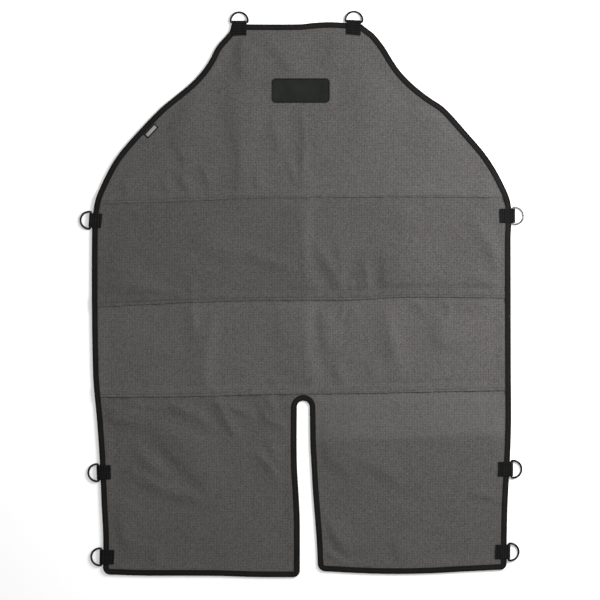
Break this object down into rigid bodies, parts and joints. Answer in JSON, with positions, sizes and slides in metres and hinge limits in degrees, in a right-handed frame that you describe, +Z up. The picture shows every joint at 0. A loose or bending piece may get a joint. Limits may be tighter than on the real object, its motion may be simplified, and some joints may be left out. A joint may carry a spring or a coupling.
{
  "type": "protective apron",
  "caption": "Long work apron with split legs in lapped cloth panels, bound edges, a chest patch and webbing tabs that hold D-rings for straps.",
  "frame": {"origin": "middle of the whole apron's box, on the floor that it lies on", "axes": "+X to the picture's right, +Y towards the top of the bib, +Z up from the floor, out of the apron's face"},
  "size_m": [0.9782, 1.2454, 0.0078],
  "materials": {
    "cloth": "dense warm grey woven cloth, matt",
    "tape": "black ribbed binding tape",
    "webbing": "black ribbed webbing",
    "black_metal": "gloss black plated steel",
    "bright_metal": "bright plated steel",
    "patch": "dark green black moulded patch, satin",
    "tag": "woven label, light grey in a dark frame"
  },
  "bodies": {
    "apron": {"bib_panel": "cloth", "waist_panel": "cloth", "lap_panel": "cloth", "leg_panel": "cloth", "edge_binding": "tape", "chest_patch": "patch", "side_tag": "tag", "tab_top_left": "webbing", "tab_top_right": "webbing", "tab_waist_left": "webbing", "tab_waist_right": "webbing", "tab_thigh_left": "webbing", "tab_thigh_right": "webbing", "tab_hem_left": "webbing", "tab_hem_right": "webbing"},
    "ring_top_left": {"ring_top_left": "black_metal"},
    "ring_top_right": {"ring_top_right": "black_metal"},
    "ring_waist_left": {"ring_waist_left": "black_metal"},
    "ring_waist_right": {"ring_waist_right": "bright_metal"},
    "ring_thigh_left": {"ring_thigh_left": "black_metal"},
    "ring_thigh_right": {"ring_thigh_right": "black_metal"},
    "ring_hem_left": {"ring_hem_left": "black_metal"},
    "ring_hem_right": {"ring_hem_right": "black_metal"}
  },
  "joints": [
    {"name": "ring_top_left_swing", "type": "hinge", "parent": "apron", "child": "ring_top_left", "pos_m": [-0.13796, 0.59694, 0.0039], "axis": [1, 0, 0], "range_deg": [-115, 120]},
    {"name": "ring_top_right_swing", "type": "hinge", "parent": "apron", "child": "ring_top_right", "pos_m": [0.11417, 0.59841, 0.0039], "axis": [0.9986, -0.0523, 0], "range_deg": [-115, 120]},
    {"name": "ring_waist_left_swing", "type": "hinge", "parent": "apron", "child": "ring_waist_left", "pos_m": [-0.46478, 0.16175, 0.0039], "axis": [0.0642, 0.9979, 0], "range_deg": [-115, 120]},
    {"name": "ring_waist_right_swing", "type": "hinge", "parent": "apron", "child": "ring_waist_right", "pos_m": [0.4649, 0.17189, 0.0039], "axis": [0.0086, -1, 0], "range_deg": [-115, 120]},
    {"name": "ring_thigh_left_swing", "type": "hinge", "parent": "apron", "child": "ring_thigh_left", "pos_m": [-0.44759, -0.39289, 0.0039], "axis": [-0.0436, 0.999, 0], "range_deg": [-115, 120]},
    {"name": "ring_thigh_right_swing", "type": "hinge", "parent": "apron", "child": "ring_thigh_right", "pos_m": [0.46026, -0.38517, 0.0039], "axis": [-0.0023, -1, 0], "range_deg": [-115, 120]},
    {"name": "ring_hem_left_swing", "type": "hinge", "parent": "apron", "child": "ring_hem_left", "pos_m": [-0.44115, -0.57817, 0.0039], "axis": [0.0158, 0.9999, 0], "range_deg": [-115, 120]},
    {"name": "ring_hem_right_swing", "type": "hinge", "parent": "apron", "child": "ring_hem_right", "pos_m": [0.45405, -0.56716, 0.0039], "axis": [-0.0062, -1, 0], "range_deg": [-115, 120]}
  ]
}
